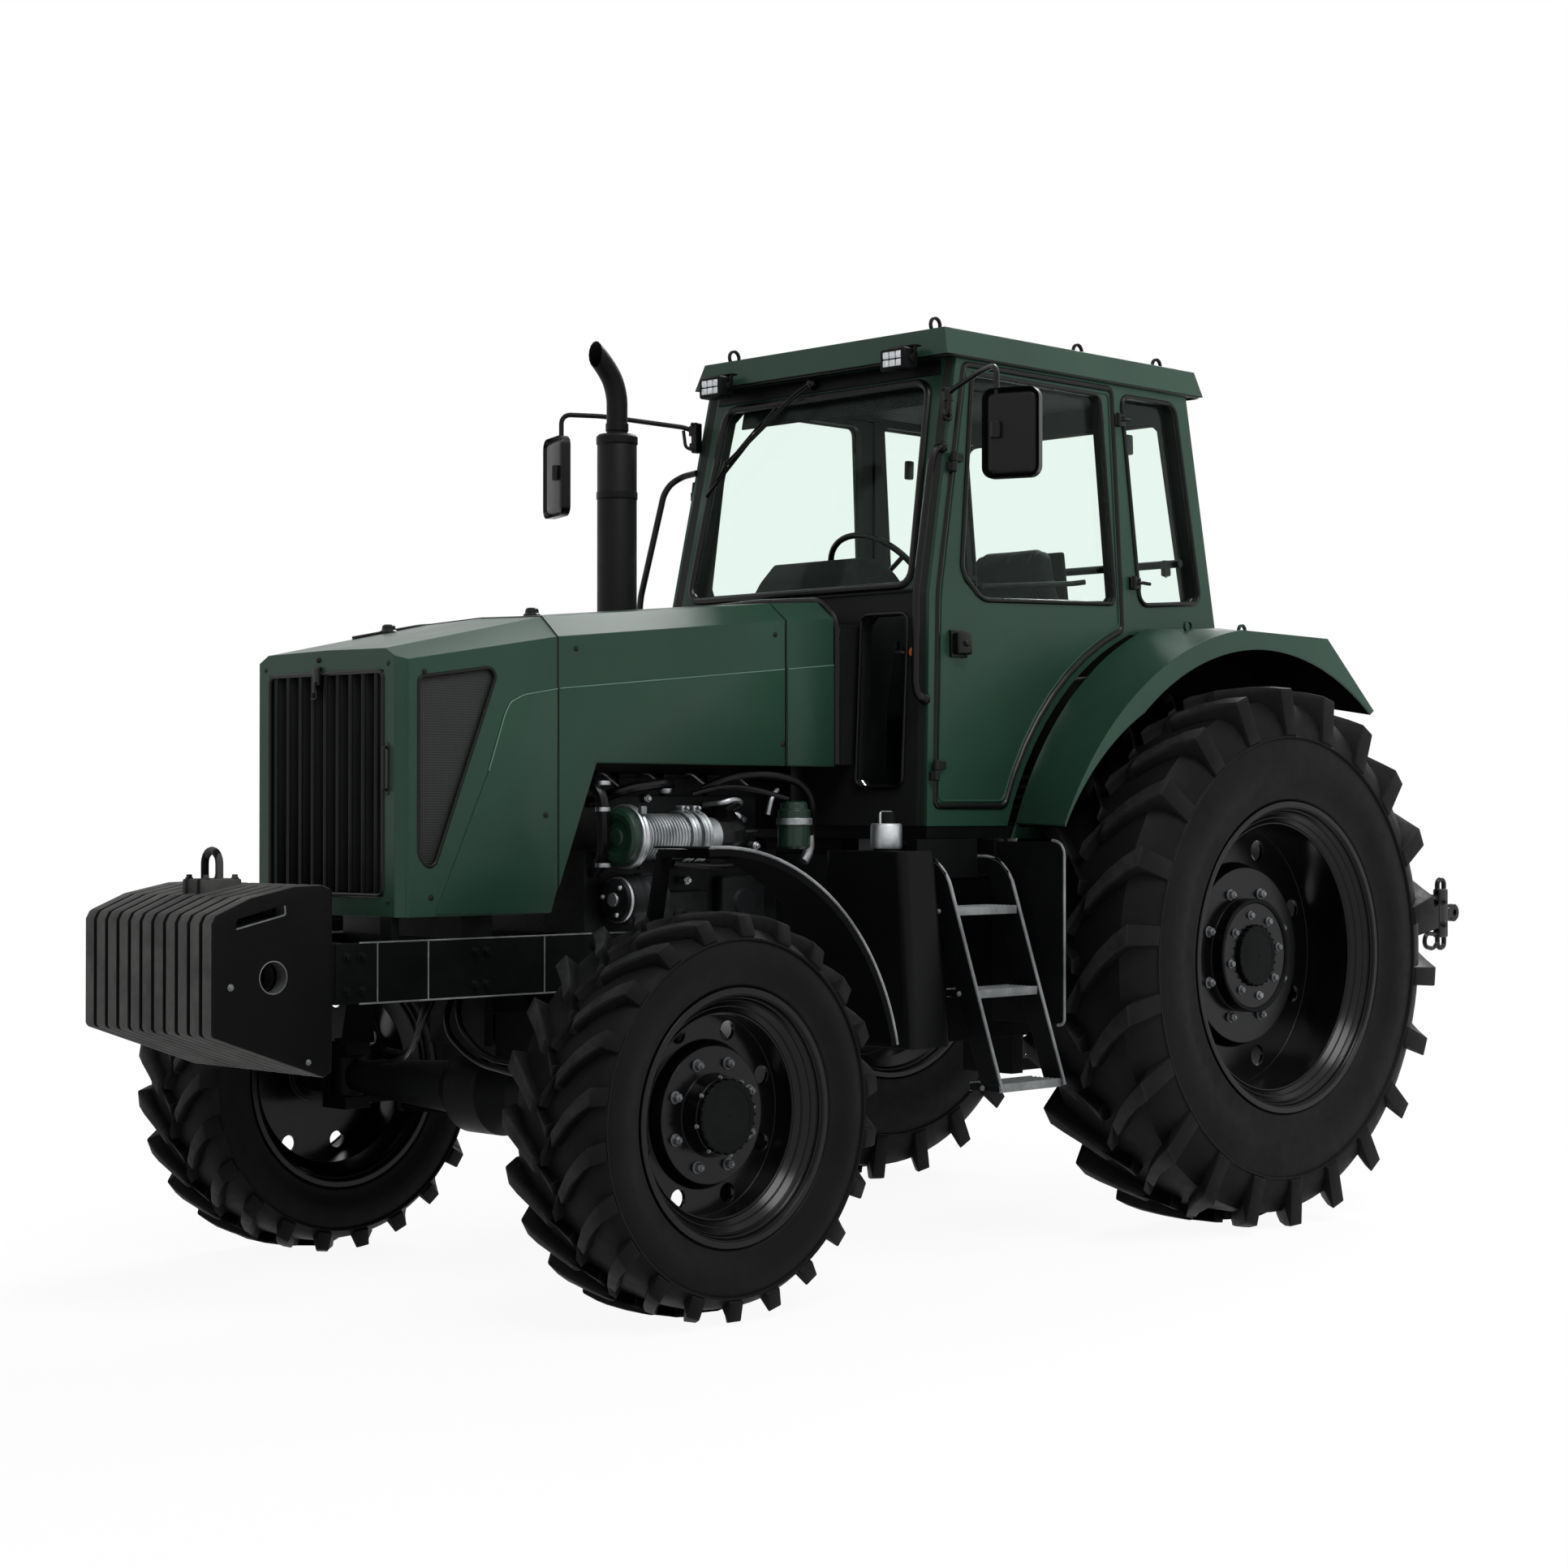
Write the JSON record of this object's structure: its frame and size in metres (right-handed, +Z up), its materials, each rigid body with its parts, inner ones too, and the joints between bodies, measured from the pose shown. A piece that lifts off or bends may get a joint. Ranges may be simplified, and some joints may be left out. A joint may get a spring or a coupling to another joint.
{
  "type": "farm tractor",
  "caption": "Four-wheel farm tractor with a glazed cab, tilting bonnet, front weights, steered front wheels and a rear three-point linkage.",
  "frame": {"origin": "on the ground, below the middle of the overall length", "axes": "-Y forward, +Y rearward, +X to the driver's left, +Z up"},
  "size_m": [2.196, 5.51, 2.913],
  "materials": {
    "tyres": "worn rubber, paler on the lugs",
    "wheel_black": "gloss black",
    "chassis": "satin charcoal",
    "body_green": "satin forest green",
    "plastic_black": "matt black",
    "plastic_grey": "matt dark grey",
    "bright_metal": "cast and turned",
    "glass": "faint green tint"
  },
  "bodies": {
    "chassis": {"battery_box": "plastic_black", "cab_fittings": "plastic_black", "cab_floor": "chassis", "cab_front": "body_green", "cab_glass": "glass", "cab_inside": "plastic_grey", "cab_rear": "body_green", "cab_side_left": "body_green", "cab_side_right": "body_green", "engine": "chassis", "engine_fittings": "bright_metal", "exhaust": "chassis", "front_axle": "chassis", "front_frame": "chassis", "front_weights": "chassis", "fuel_tank": "plastic_black", "rear_fender_left": "body_green", "rear_fender_right": "body_green", "rear_housing": "chassis", "roof": "body_green", "steps": "plastic_black"},
    "front_wheel_left": {"front_tyre_left": "tyres", "front_rim_left": "wheel_black"},
    "front_wheel_right": {"front_tyre_right": "tyres", "front_rim_right": "wheel_black"},
    "rear_wheel_left": {"rear_tyre_left": "tyres", "rear_rim_left": "wheel_black"},
    "rear_wheel_right": {"rear_tyre_right": "tyres", "rear_rim_right": "wheel_black"},
    "steered_left": {"knuckle_left": "chassis", "front_fender_left": "plastic_black"},
    "steered_right": {"knuckle_right": "chassis", "front_fender_right": "plastic_black"},
    "track_rod": {"tie_rod": "chassis"},
    "bonnet": {"bonnet_nose": "body_green", "bonnet_top": "body_green", "grille": "plastic_black"},
    "door_l": {"door_left": "body_green", "door_glass_left": "glass"},
    "door_r": {"door_right": "body_green", "door_glass_right": "glass"},
    "wheel_in_hand": {"steering_wheel": "plastic_grey"},
    "links": {"lower_links": "chassis"},
    "arms": {"lift_arms": "chassis"},
    "rods": {"lift_rods": "chassis"}
  },
  "joints": [
    {"name": "steer_left", "type": "hinge", "parent": "chassis", "child": "steered_left", "pos_m": [0.69, -1.598, 0.545], "axis": [0, 0, 1], "range_deg": [-35, 35]},
    {"name": "steer_right", "type": "hinge", "parent": "chassis", "child": "steered_right", "pos_m": [-0.69, -1.598, 0.545], "axis": [0, 0, 1], "range_deg": [-35, 35]},
    {"name": "front_spin_left", "type": "hinge", "parent": "steered_left", "child": "front_wheel_left", "pos_m": [0.863, -1.598, 0.545], "axis": [1, 0, 0], "continuous": true},
    {"name": "rear_spin_left", "type": "hinge", "parent": "chassis", "child": "rear_wheel_left", "pos_m": [0.868, 0.848, 0.882], "axis": [1, 0, 0], "continuous": true},
    {"name": "front_spin_right", "type": "hinge", "parent": "steered_right", "child": "front_wheel_right", "pos_m": [-0.863, -1.598, 0.545], "axis": [1, 0, 0], "continuous": true},
    {"name": "rear_spin_right", "type": "hinge", "parent": "chassis", "child": "rear_wheel_right", "pos_m": [-0.868, 0.848, 0.882], "axis": [1, 0, 0], "continuous": true},
    {"name": "track_rod_turn", "type": "hinge", "parent": "steered_left", "child": "track_rod", "pos_m": [0.69, -1.398, 0.441], "axis": [0, 0, 1], "range_deg": [-35, 35]},
    {"name": "steering_wheel_turn", "type": "hinge", "parent": "chassis", "child": "wheel_in_hand", "pos_m": [0, 0.03, 2.098], "axis": [0, 0.7727, 0.6347], "continuous": true},
    {"name": "door_left_swing", "type": "hinge", "parent": "chassis", "child": "door_l", "pos_m": [0.61733, -0.355, 1.48], "axis": [0.0329, -0.1209, -0.9921], "range_deg": [0, 75]},
    {"name": "door_right_swing", "type": "hinge", "parent": "chassis", "child": "door_r", "pos_m": [-0.61733, -0.355, 1.48], "axis": [0.0329, 0.1209, 0.9921], "range_deg": [0, 75]},
    {"name": "bonnet_tilt", "type": "hinge", "parent": "chassis", "child": "bonnet", "pos_m": [0, -0.598, 1.9], "axis": [-1, 0, 0], "range_deg": [0, 50]},
    {"name": "links_lift", "type": "hinge", "parent": "chassis", "child": "links", "pos_m": [0, 1.248, 0.62], "axis": [1, 0, 0], "range_deg": [-22, 10]},
    {"name": "arms_lift", "type": "hinge", "parent": "chassis", "child": "arms", "pos_m": [0, 1.158, 1.22], "axis": [1, 0, 0], "range_deg": [-22, 10]},
    {"name": "rods_swing", "type": "hinge", "parent": "arms", "child": "rods", "pos_m": [0, 1.6452, 1.3397], "axis": [1, 0, 0], "range_deg": [-10, 22]}
  ],
  "couplings": [
    {"joint": "steer_right", "follows": "steer_left", "ratio": 1},
    {"joint": "track_rod_turn", "follows": "steer_left", "ratio": -1},
    {"joint": "arms_lift", "follows": "links_lift", "ratio": 1},
    {"joint": "rods_swing", "follows": "links_lift", "ratio": -1}
  ]
}
